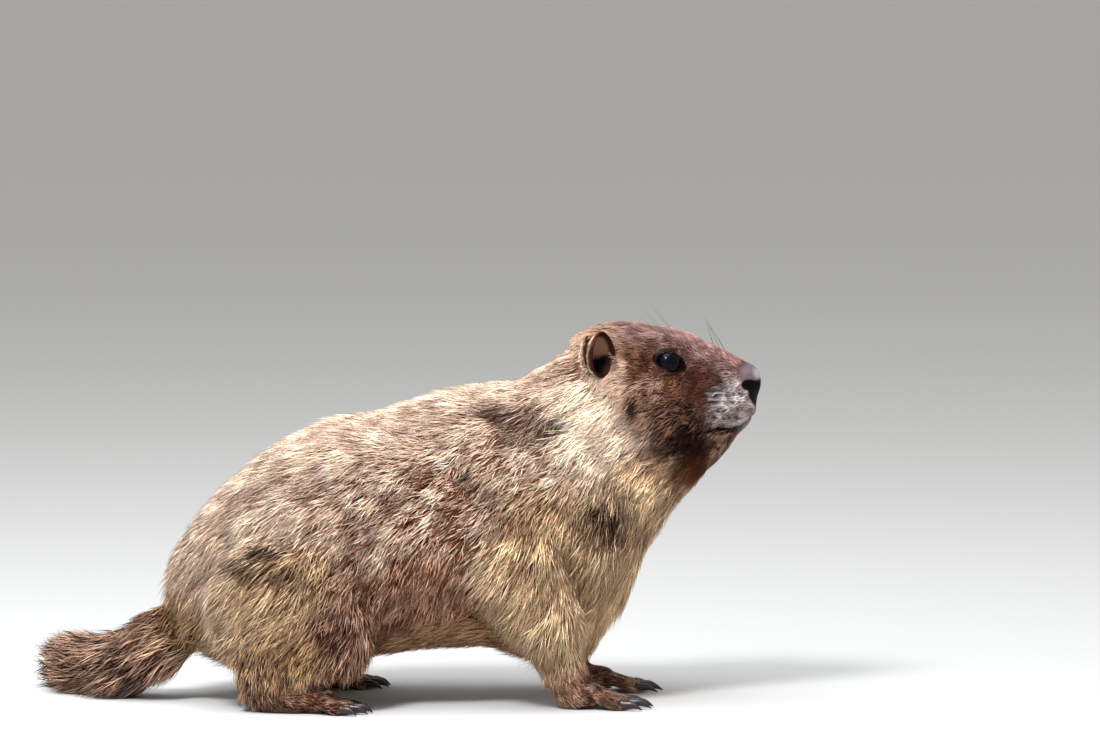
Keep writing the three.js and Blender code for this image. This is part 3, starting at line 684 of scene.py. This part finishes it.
NOSE_TINTS = [
    # partly the nose pad's own grey, partly painted sheen: the lighter grey top of the pad
    (NOSE_TOP, NOSE_TOP_SIZE, "slate", 1.0, 0.25),
    ((176.5, 0, 200), (5, 12, 3), "dark", 0.35, 0.6),
    # painted highlight: a pale spot on the front of the nose top
    ((186.5, 3, 193), (3.2, 5, 3.2), "frost", 0.3, 0.7),
    (NOSE_FRONT, NOSE_FRONT_SIZE, "black", 1.0, 0.12),
    (NOSTRIL, (5.6, 8, 3.6), "black", 1.0, 0.15),
]
for tint in NOSE_TINTS:
    skin_colour = tinted(skin_colour, *tint)
ring, _, along, ahead, height = eye_ring(points)
before_eye = (along > 0) & (along < LID["front"]) & (ring < 3)
tear = tear_corner(ahead, height)
lid_share = np.maximum(smooth(1.52, 1.36, ring), smooth(1.15, 0.85, tear))
lid_share = (lid_share * before_eye)[:, None]
skin_colour += lid_share * (linear(SHADES["black"]) - skin_colour)

# Ear colours: dark rim, painted shade in the lower hollow, fawn upper cup, pale back
hollow_share = np.zeros(len(points))
ear_open = np.ones(len(points))  # no hair grows on the head within the cup
for side in (1, -1):
    facing, up, across = ear_axes(side)
    out = points - EAR_AT * (1, side, 1) - facing * EAR["ahead"]
    u, v, w = out @ across / EAR["wide"], out @ up / EAR["tall"], out @ facing
    reach = np.hypot(u, v)
    mine = on_ear & (points[:, 1] * side > 0)
    inside = mine & (normals @ facing > 0.02)
    cup = linear(SHADES["brown"]) * 0.9
    # painted shade: the cup goes to black low down, where its hollow is deepest
    deep = smooth(0.2, -0.15, v + 0.25 * noise(points, 3, 1))[:, None]
    shade = cup * (1 - deep) + linear(SHADES["black"]) * deep
    edge = smooth(0.74, 0.9, reach)[:, None]
    shade = shade * (1 - edge) + linear(SHADES["dark"]) * edge
    back = linear(SHADES["fawn"]) * 0.7
    colour = np.where(inside[:, None], shade, back * (1 - edge) + linear(SHADES["umber"]) * edge)
    skin_colour = np.where(mine[:, None], colour, skin_colour)
    hollow_share = np.where(inside | (mine & (reach > 1.0)), 1.0, hollow_share)
    cup_edge = 1.1 - 0.25 * smooth(0, -5, out[:, 0])
    behind = ~on_ear & (points[:, 1] * side > 0) & (np.abs(w) < 18) & (reach < cup_edge)
    ear_open = np.where(behind, 0.0, ear_open)
TAIL_FROM = -140  # the soles of the feet are bare, and the tail's underside isn't
sole = smooth(1.2, 0.4, points[:, 2])[:, None] * (points[:, 0] > TAIL_FROM)[:, None]
skin_colour += sole * (linear(SHADES["black"]) - skin_colour)


def paint(mesh, colours):
    layer = mesh.color_attributes.new("coat_colour", "FLOAT_COLOR", "POINT")
    values = np.concatenate([np.clip(colours, 0, 1), np.ones((len(colours), 1))], axis=1)
    layer.data.foreach_set("color", values.astype(np.float32).ravel())


paint(skin_mesh, skin_colour)

# An unwrap of the skin, for the skin and for the roots of the coat
bpy.context.view_layer.objects.active = skin
skin.select_set(True)
bpy.ops.object.mode_set(mode="EDIT")
bpy.ops.mesh.select_all(action="SELECT")
skin_mesh.uv_layers.new(name="OFBake")
bpy.ops.uv.smart_project(angle_limit=math.radians(66), island_margin=0.002)
bpy.ops.object.mode_set(mode="OBJECT")
skin.select_set(False)
skin_mesh.calc_loop_triangles()
triangle_count = len(skin_mesh.loop_triangles)
tri_verts = np.zeros(triangle_count * 3, int)
tri_loops = np.zeros(triangle_count * 3, int)
skin_mesh.loop_triangles.foreach_get("vertices", tri_verts)
skin_mesh.loop_triangles.foreach_get("loops", tri_loops)
tri_verts, tri_loops = tri_verts.reshape(-1, 3), tri_loops.reshape(-1, 3)
skin_uv = np.zeros(len(skin_mesh.loops) * 2)
skin_mesh.uv_layers["OFBake"].data.foreach_get("uv", skin_uv)
skin_uv = skin_uv.reshape(-1, 2)
skin_normals = normals_of(skin_mesh)
points = coords(skin_mesh)
corner = points[tri_verts]
tri_area = np.linalg.norm(np.cross(corner[:, 1] - corner[:, 0], corner[:, 2] - corner[:, 0]), axis=1) / 2


# Scattering roots over the skin
def scatter(density):
    """Roots on the skin, so many per square millimetre at each vertex: place, normal, UV."""
    wanted = tri_area * density[tri_verts].mean(1)
    number = np.floor(wanted + rng.random(triangle_count)).astype(int)
    which = np.repeat(np.arange(triangle_count), number)
    a, b = rng.random((2, len(which)))
    flip = a + b > 1
    a[flip], b[flip] = 1 - a[flip], 1 - b[flip]
    share = np.stack([1 - a - b, a, b], axis=1)[:, :, None]
    at = (points[tri_verts[which]] * share).sum(1)
    normal = (skin_normals[tri_verts[which]] * share).sum(1)
    normal /= np.linalg.norm(normal, axis=1, keepdims=True)
    uv = (skin_uv[tri_loops[which]] * share).sum(1)
    return at, normal, uv


def tangent(vectors, normals):
    """Unit vectors laid along the surface."""
    flat = vectors - (vectors * normals).sum(1, keepdims=True) * normals
    return flat / np.maximum(np.linalg.norm(flat, axis=1, keepdims=True), 1e-6)


def tree_of(places):
    tree = KDTree(len(places))
    for i, place in enumerate(places):
        tree.insert(place, i)
    tree.balance()
    return tree


LOCK_SEED = 11
TUFTS_TO_A_LOCK = 14


def locks(at, spacing):
    """The middle of the lock that each root belongs to, and a random number of that lock's own."""
    order = np.random.default_rng(LOCK_SEED)
    number = max(8, int(len(at) / TUFTS_TO_A_LOCK))
    centres = at[order.choice(len(at), number, replace=False)]
    kept = []
    tree = tree_of(centres)
    taken = np.zeros(len(centres), bool)
    for i, centre in enumerate(centres):
        if taken[i]:
            continue
        kept.append(i)
        for _, j, _ in tree.find_range(centre, spacing):
            taken[j] = True
    kept = centres[kept]
    tree = tree_of(kept)
    nearest = np.array([tree.find(p)[1] for p in at])
    return kept[nearest], order.random(len(kept))[nearest]


# Ring stations along a tuft, and how wide it is at each, as shares of its width
LONG_STATIONS = ((0.25, 1.0), (0.66, 0.62))
SHORT_STATIONS = ((0.38, 1.0),)
PATCH = 0.003
FLOOR_FREE = 0.35  # hair that would reach the floor lies down near this height
FLOOR_SINK = 0.15
TUFT = {
    "sway": 0.22, "swirl": 0.7, "most": 1.8, "uneven": 0.16, "bend": 0.05,  # how tufts differ
    "steep": 0.8, "arch": 1.7, "sunk": 0.35, "root": 0.8, "gather": 1.6, "flat": 0.55,
}
ROOT_SHADE_ENDS = 0.4  # shares of a tuft's length at which its shades change
TIP_SHADE = (0.3, 0.85)


def tuft_rows(at, normal, coat, stations, pull):
    """The corners of every tuft: a root, rings of three and a tip."""
    number = len(at)
    lie = tangent(coat["lie"], normal)
    side = np.cross(normal, lie)
    sway = np.clip(rng.normal(0, 1, (2, number, 1)), -TUFT["most"], TUFT["most"])
    swirl = (noise(at, 16, 2)[:, None] - 0.5) * TUFT["swirl"]
    lie = tangent(lie + side * TUFT["sway"] * sway[0] + swirl * side, normal)
    side = np.cross(normal, lie)
    length = (coat["length"] * np.exp(TUFT["uneven"] * sway[1][:, 0]))[:, None]
    rise = (coat["depth"] * rng.uniform(0.75, 1.15, number))[:, None]
    rise = np.minimum(rise, length * TUFT["steep"])
    bend = rng.normal(0, TUFT["bend"], (number, 1)) * length
    width = (coat["width"] * rng.uniform(0.75, 1.25, number))[:, None]
    forward = np.sqrt(np.maximum(length**2 - rise**2, 0))

    def along(t):
        lift = rise * (1 - (1 - t) ** TUFT["arch"]) - TUFT["sunk"]
        return at + lie * forward * t + normal * lift + side * bend * t * t + pull * t ** TUFT["gather"]

    rows = [at - normal * TUFT["root"]]
    for t, share in stations:
        ring = along(t)
        for angle in (90, 210, 330):
            c, s = math.cos(math.radians(angle)), math.sin(math.radians(angle))
            rows.append(ring + (side * c + normal * s * TUFT["flat"]) * width * share / 2)
    rows.append(along(1.0))
    return rows


def tuft_faces(rings):
    """The faces of one tuft, and the place of each face's corners within its patch."""
    last = 1 + 3 * rings
    faces, spots = [], []
    step = 1 / (rings + 1)
    for k in range(3):
        n = (k + 1) % 3
        v0, v1 = k / 3, (k + 1) / 3
        faces.append([0, 1 + n, 1 + k])
        spots.append([(0, (v0 + v1) / 2), (step, v1), (step, v0)])
        for r in range(rings - 1):
            a, b = 1 + 3 * r, 4 + 3 * r
            faces.append([a + k, a + n, b + n, b + k])
            u0, u1 = step * (r + 1), step * (r + 2)
            spots.append([(u0, v0), (u0, v1), (u1, v1), (u1, v0)])
        a = 1 + 3 * (rings - 1)
        faces.append([a + k, a + n, last])
        spots.append([(step * rings, v0), (step * rings, v1), (1, (v0 + v1) / 2)])
    return faces, spots


def tufts(name, at, normal, uv, coat, colours, stations, pull):
    """Builds one mesh of closed blades."""
    number = len(at)
    rows = tuft_rows(at, normal, coat, stations, pull)
    place = np.stack(rows, axis=1).reshape(-1, 3)
    above = np.log1p(np.exp((place[:, 2] - FLOOR_FREE) / FLOOR_FREE)) * FLOOR_FREE
    place[:, 2] = FLOOR_FREE + above - FLOOR_SINK
    base = (np.arange(number) * len(rows))[:, None]
    faces, spots = tuft_faces(len(stations))
    flat = np.array([i for f in faces for i in f])
    sizes = np.array([len(f) for f in faces])
    mesh = bpy.data.meshes.new(name)
    mesh.vertices.add(len(place))
    put_coords(mesh, place)
    loops = (base + flat).ravel()
    mesh.loops.add(len(loops))
    mesh.loops.foreach_set("vertex_index", loops)
    totals = np.tile(sizes, number)
    mesh.polygons.add(len(totals))
    mesh.polygons.foreach_set("loop_start", np.concatenate([[0], np.cumsum(totals)[:-1]]))
    mesh.update(calc_edges=True)
    layer = mesh.uv_layers.new(name="OFBake")
    spot = np.array([s for f in spots for s in f])
    layer.data.foreach_set("uv", (uv[:, None, :] + (spot[None] - 0.5) * PATCH).ravel())
    root, middle, tip = colours
    shares = [0.0] + [t for t, _ in stations for _ in range(3)] + [1.0]
    rows = []
    for t in shares:
        past_root, at_tip = smooth(0, ROOT_SHADE_ENDS, t), smooth(*TIP_SHADE, t)
        rows.append(root * (1 - past_root) + middle * past_root * (1 - at_tip) + tip * at_tip)
    paint(mesh, np.stack(rows, axis=1).reshape(-1, 3))
    mesh.shade_smooth()
    return link(name, mesh)


# Materials
def material(name, roughness, colour=None, **sockets):
    """A material with its node tree and its shader; other sockets are named with underscores."""
    made = bpy.data.materials.new(name)
    made.use_nodes = True
    shader = made.node_tree.nodes["Principled BSDF"]
    shader.inputs["Roughness"].default_value = roughness
    if colour is not None:
        shader.inputs["Base Color"].default_value = (*linear(colour), 1)
    for socket, value in sockets.items():
        shader.inputs[socket.replace("_", " ")].default_value = value
    return made, made.node_tree, shader


def coloured(tree, shader, variation, scale):
    """Base colour from the colours painted on the mesh (markings, and painted shade and light), with fine
    procedural variation.
    """
    nodes, links = tree.nodes, tree.links
    marks = nodes.new("ShaderNodeAttribute")
    marks.attribute_name = "coat_colour"
    place = nodes.new("ShaderNodeTexCoord")
    speckle = nodes.new("ShaderNodeTexNoise")
    speckle.inputs["Scale"].default_value = scale
    speckle.inputs["Detail"].default_value = 3
    range_node = nodes.new("ShaderNodeMapRange")
    range_node.inputs["To Min"].default_value = 1 - variation
    range_node.inputs["To Max"].default_value = 1 + variation
    mix = nodes.new("ShaderNodeMix")
    mix.data_type = "RGBA"
    mix.blend_type = "MULTIPLY"
    mix.inputs["Factor"].default_value = 1
    links.new(place.outputs["Object"], speckle.inputs["Vector"])
    links.new(speckle.outputs["Fac"], range_node.inputs["Value"])
    links.new(marks.outputs["Color"], mix.inputs["A"])
    links.new(range_node.outputs["Result"], mix.inputs["B"])
    links.new(mix.outputs["Result"], shader.inputs["Base Color"])


def bumped(tree, shader, scale, depth, stretch):
    """Fine procedural bumps, drawn out along one axis."""
    nodes, links = tree.nodes, tree.links
    place = nodes.new("ShaderNodeTexCoord")
    mapping = nodes.new("ShaderNodeMapping")
    mapping.inputs["Scale"].default_value = stretch
    texture = nodes.new("ShaderNodeTexNoise")
    texture.inputs["Scale"].default_value = scale
    texture.inputs["Detail"].default_value = 4
    bump = nodes.new("ShaderNodeBump")
    bump.inputs["Strength"].default_value = 0.6
    bump.inputs["Distance"].default_value = depth
    links.new(place.outputs["Object"], mapping.inputs["Vector"])
    links.new(mapping.outputs["Vector"], texture.inputs["Vector"])
    links.new(texture.outputs["Fac"], bump.inputs["Height"])
    links.new(bump.outputs["Normal"], shader.inputs["Normal"])


coat_material, tree, shader = material("coat", 0.7, Specular_IOR_Level=0.12)
coloured(tree, shader, variation=0.12, scale=900)
skin_material, tree, shader = material("skin", 0.5, Specular_IOR_Level=0.05)
coloured(tree, shader, variation=0.2, scale=700)
bumped(tree, shader, scale=1400, depth=0.0006, stretch=(0.35, 1, 1))
eye_material, _, _ = material("eye", 0.04, (0.015, 0.01, 0.035), IOR=1.34, Specular_IOR_Level=0.16)
claw_material, tree, shader = material("claw", 0.36, (0.12, 0.085, 0.07))
bumped(tree, shader, scale=900, depth=0.0003, stretch=(0.2, 1, 1))
whisker_material, _, _ = material("whisker", 0.4, (0.10, 0.07, 0.06))
skin_mesh.materials.clear()
skin_mesh.materials.append(skin_material)
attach(skin, MAIN_PIECE)
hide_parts(*flesh)

# The coat
vertex_coat = coat_at(points)
in_eye = before_eye & ((ring < 1.25 + 0.4 * smooth(-1, 5, ahead)) | (tear < 1))
bare_nose = smooth(0.9, 1.1, np.linalg.norm((left - NOSE_TOP) / NOSE_TOP_SIZE, axis=1))
bare_nose *= smooth(0.9, 1.1, np.linalg.norm((left - NOSTRIL) / (5.4, 8, 3.4), axis=1))
bare_nose *= smooth(0.9, 1.1, np.linalg.norm((left - NOSE_FRONT) / NOSE_FRONT_SIZE, axis=1))
ear_hollow = 1 - hollow_share
sole_free = (points[:, 2] > 1.6).astype(float)
lengths = vertex_coat["length"]
long_share = smooth(6.5, 9.0, lengths)
keep = bare_nose * sole_free * (~in_eye) * (1 - mouth_share(points, LIPS_BARE)) * ear_open
long_density = keep * long_share / np.maximum(vertex_coat["width"], 0.4) ** 1.4 * ear_hollow
short_density = keep * (1 - long_share) / np.maximum(vertex_coat["width"], 0.3) ** 1.3 * ear_hollow
short_density *= smooth(0.6, 2.0, lengths)


def scaled(density, total):
    """The density at each vertex that gives a total number of roots."""
    return density * total / (tri_area * density[tri_verts].mean(1)).sum()


EAR_HAIR = {"length": 3.6, "depth": 1.0, "within": 14.5, "clear": 19.0}
EYE_HAIR = {"length": 2.4, "depth": 0.8, "within": 10.0, "clear": 15.0}


def trimmed(coat, at):
    """Shortens the hair on and around the ears, and around the eyes."""
    for middle, hair_there in ((EAR_AT, EAR_HAIR), (EYE_AT, EYE_HAIR)):
        away = np.linalg.norm(mirrored(at) - middle, axis=1)
        close = smooth(hair_there["clear"], hair_there["within"], away)
        for field in ("length", "depth"):
            short = np.minimum(coat[field], hair_there[field])
            coat[field] = coat[field] + close * (short - coat[field])


SHOWN = 0.6  # a tuft has the colours of the place that it covers, this far along it


def grow(prefix, density, total, pieces, stations, lock, gather, contrast, slim=1.0):
    """Grows one kind of tuft over the skin, in several pieces."""
    at, normal, uv = scatter(scaled(density, total))
    coat = coat_at(at)
    trimmed(coat, at)
    shown = at + tangent(coat["lie"], normal) * (coat["length"] * SHOWN)[:, None]
    tip, under = markings_and_painted_shade(shown, coat_at(shown))
    centre, luck = locks(at, lock)
    toward = tangent(centre - at, normal) * np.linalg.norm(centre - at, axis=1, keepdims=True)
    pull = toward * (gather * smooth(4, 12, coat["length"]))[:, None]
    streak = (0.64 + 0.58 * luck)[:, None]
    tip = tip * streak * rng.uniform(*contrast, (len(at), 1))
    dark = rng.random(len(at)) < coat["dark"] * (0.35 + 1.3 * noise(at, 7, 3)) * (1.5 - luck)
    tip = np.where(dark[:, None], under * rng.uniform(0.7, 1.1, (len(at), 1)), tip)
    middle = under * 0.72 + tip * 0.28
    root = under * 0.5
    coat["length"] = coat["length"] * (0.86 + 0.28 * luck)
    coat["width"] = coat["width"] * slim
    order = rng.permutation(len(at))
    for i, chosen in enumerate(np.array_split(order, pieces)):
        part = {k: v[chosen] for k, v in coat.items()}
        shades = (root[chosen], middle[chosen], tip[chosen])
        roots = (at[chosen], normal[chosen], uv[chosen])
        piece = tufts(f"{prefix}_{i + 1}", *roots, part, shades, stations, pull[chosen])
        piece.data.materials.append(coat_material)
        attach(piece, MAIN_PIECE)


thin = 1.0
LONG_LOCK, SHORT_LOCK = 5.2, 2.4  # how far apart the locks are
grow("coat_long", long_density, 60000 * thin, 4, LONG_STATIONS, LONG_LOCK, 0.65, (0.8, 1.15))
grow("coat_fine", long_density, 70000 * thin, 3, SHORT_STATIONS, LONG_LOCK, 0.75, (0.85, 1.3), slim=0.66)
grow("coat_short", short_density, 56000 * thin, 2, SHORT_STATIONS, SHORT_LOCK, 0.35, (0.6, 1.45))

# Eyes: smooth balls
EYE_RINGS, EYE_SEGMENTS = 32, 40
for word, side in (("left", 1), ("right", -1)):
    mirror = np.array([1, side, 1])
    axis, centre = EYE_AXIS * mirror, EYE_AT * mirror
    across = np.cross(axis, (0, 0, 1))
    across /= np.linalg.norm(across)
    up = np.cross(across, axis)
    rings = []
    for i in range(1, EYE_RINGS):
        a = math.pi * i / EYE_RINGS
        middle = centre - axis * math.cos(a) * EYE_RADIUS
        rings.append(circle(middle, across, up, math.sin(a) * EYE_RADIUS, EYE_SEGMENTS))
    ball = link(f"eyeball_{word}", loft(rings, f"eyeball_{word}"))
    ball.data.materials.append(eye_material)
    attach(ball, MAIN_PIECE)
    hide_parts(f"eye_{word}")

# Claws: curved horns through each claw's own solid
CLAW = {
    "base": 1.5, "start": -0.22, "arch": 1.3, "thick": 1.9, "tip": 0.22,
    "narrow": 0.8, "tall": 1.15, "rings": 14, "segments": 14,
}


def claw_mesh(name):
    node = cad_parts[name]
    corners = coords(node.data)
    low = corners[:, 0] < corners[:, 0].min() + CLAW["base"]
    root = corners[low].mean(0)
    tip = corners[np.argmax(corners[:, 0])]
    along = tip - root
    across = np.cross(along, (0, 0, 1))
    across /= np.linalg.norm(across)
    up = np.cross(across, along)
    up /= np.linalg.norm(up)
    rings = []
    for t in np.linspace(CLAW["start"], 1.0, CLAW["rings"]):
        arch = CLAW["arch"] * math.sin(math.pi * min(max(t, 0), 1)) * up
        thick = CLAW["thick"] * (1 - max(t, 0) ** 1.6) + CLAW["tip"]
        middle = root + along * t + arch
        rings.append(circle(middle, across * CLAW["narrow"], up * CLAW["tall"], thick, CLAW["segments"]))
    return loft(rings, "claw")


claws = bmesh.new()
claw_names = [n for n in bare if n.startswith("claw_")]
for name in claw_names:
    mesh = claw_mesh(name)
    claws.from_mesh(mesh)
    bpy.data.meshes.remove(mesh)
mesh = bpy.data.meshes.new("claws")
claws.to_mesh(mesh)
claws.free()
mesh.shade_smooth()
mesh.materials.append(claw_material)
piece = link("claws", mesh)
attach(piece, MAIN_PIECE)
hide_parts(*claw_names)

# Whiskers, and long hairs of the brow and the bridge of the nose
HAIR = {"radius": 0.13, "taper": 0.85, "rings": 12, "segments": 5}
BROW_HAIRS, BRIDGE_HAIRS = 4, 3


def hair(root, heading, length, sag):
    """A fine tapered hair from root along heading, bent down by sag."""
    heading = np.array(heading, float) / np.linalg.norm(heading)
    across = np.cross(heading, (0, 0, 1))
    across /= np.linalg.norm(across)
    up = np.cross(across, heading)
    rings = []
    for t in np.linspace(0, 1, HAIR["rings"]):
        spot = np.array(root) + heading * length * t - np.array([0, 0, 1]) * sag * t * t
        rings.append(circle(spot, across, up, HAIR["radius"] * (1 - HAIR["taper"] * t), HAIR["segments"]))
    return loft(rings, "hair")


hairs = bmesh.new()


def add_hair(root, heading, length, sag):
    mesh = hair(root, heading, length, sag)
    hairs.from_mesh(mesh)
    bpy.data.meshes.remove(mesh)


for side in (1, -1):
    for i, (x, y, z) in enumerate(WHISKERS):
        row, column = divmod(i, WHISKER_COLUMNS)
        heading = (-0.35 - 0.14 * column, side * (1.0 - 0.06 * column), 0.3 - 0.2 * row)
        length = 24 + 6 * column + rng.uniform(-3, 3)
        add_hair((x, side * y, z), heading, length, rng.uniform(-3, 4))
    for k in range(BROW_HAIRS):
        heading = (-0.55 - 0.12 * k, side * 0.3, 0.8)
        add_hair((142 - 3.5 * k, side * 15, 211), heading, length=34 - 3 * k, sag=4)
    for k in range(BRIDGE_HAIRS):
        heading = (-0.5 + 0.12 * k, side * 0.3, 1)
        add_hair((174 - 5 * k, side * 8, 195 + 2 * k), heading, length=40 - 3 * k, sag=5)
mesh = bpy.data.meshes.new("whiskers")
hairs.to_mesh(mesh)
hairs.free()
mesh.materials.append(whisker_material)
piece = link("whiskers", mesh)
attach(piece, MAIN_PIECE)

# Stage: floor and soft lights
FLOOR = 200.0  # half its side, in metres
floor_mesh = bpy.data.meshes.new("floor")
corners = [(-FLOOR, -FLOOR, 0), (FLOOR, -FLOOR, 0), (FLOOR, FLOOR, 0), (-FLOOR, FLOOR, 0)]
floor_mesh.from_pydata(corners, [], [(0, 1, 2, 3)])
floor = link("floor", floor_mesh)
floor_material, _, _ = material("floor", 0.85, (0.70, 0.70, 0.695), Specular_IOR_Level=0.1)
floor_mesh.materials.append(floor_material)

world = bpy.data.worlds.new("studio")
bpy.context.scene.world = world
world.use_nodes = True
world.node_tree.nodes["Background"].inputs["Color"].default_value = (1.0, 0.985, 0.96, 1)
world.node_tree.nodes["Background"].inputs["Strength"].default_value = 0.8

AIM = (0, 0, 0.1)  # metres


def lamp(name, place, size, power, colour):
    """A soft disc of light, turned to the animal."""
    data = bpy.data.lights.new(name, "AREA")
    data.shape = "DISK"
    data.size = size
    data.energy = power
    data.color = colour
    light = bpy.data.objects.new(name, data)
    bpy.context.scene.collection.objects.link(light)
    light.location = place
    light.rotation_euler = (Vector(AIM) - Vector(place)).to_track_quat("-Z", "Y").to_euler()


lamp("key", (-0.6, -1.4, 1.8), size=0.55, power=64, colour=(1, 1, 1))
lamp("window", (-1.3, -2.0, 1.7), size=1.6, power=16, colour=(0.70, 0.83, 1.0))
lamp("top", (-0.3, -0.5, 2.3), size=2.0, power=60, colour=(0.90, 0.94, 1.0))

# The camera, framed as the photograph is
bpy.context.scene.view_settings.view_transform = "Standard"
CAMERA = {
    "lens": 200.0, "sensor": 36.0, "away": 3.6, "elevation": 3.8, "clip_end": 100.0,
    "px_per_mm": 1.7, "floor_px": 702, "origin_px": 440,
}
PICTURE = (1100, 733)
data = bpy.data.cameras.new("camera")
data.lens = CAMERA["lens"]
data.sensor_width = CAMERA["sensor"]
camera = bpy.data.objects.new("camera", data)
bpy.context.scene.collection.objects.link(camera)
bpy.context.scene.camera = camera
middle_x = (PICTURE[0] / 2 - CAMERA["origin_px"]) / CAMERA["px_per_mm"]
middle_z = (CAMERA["floor_px"] - PICTURE[1] / 2) / CAMERA["px_per_mm"]
aim = Vector((np.array([middle_x, 0, middle_z]) + HOME) / MM)
raised = math.radians(CAMERA["elevation"])
camera.location = aim + CAMERA["away"] * Vector((0, -math.cos(raised), math.sin(raised)))
camera.rotation_euler = (aim - camera.location).to_track_quat("-Z", "Y").to_euler()
data.clip_end = CAMERA["clip_end"]
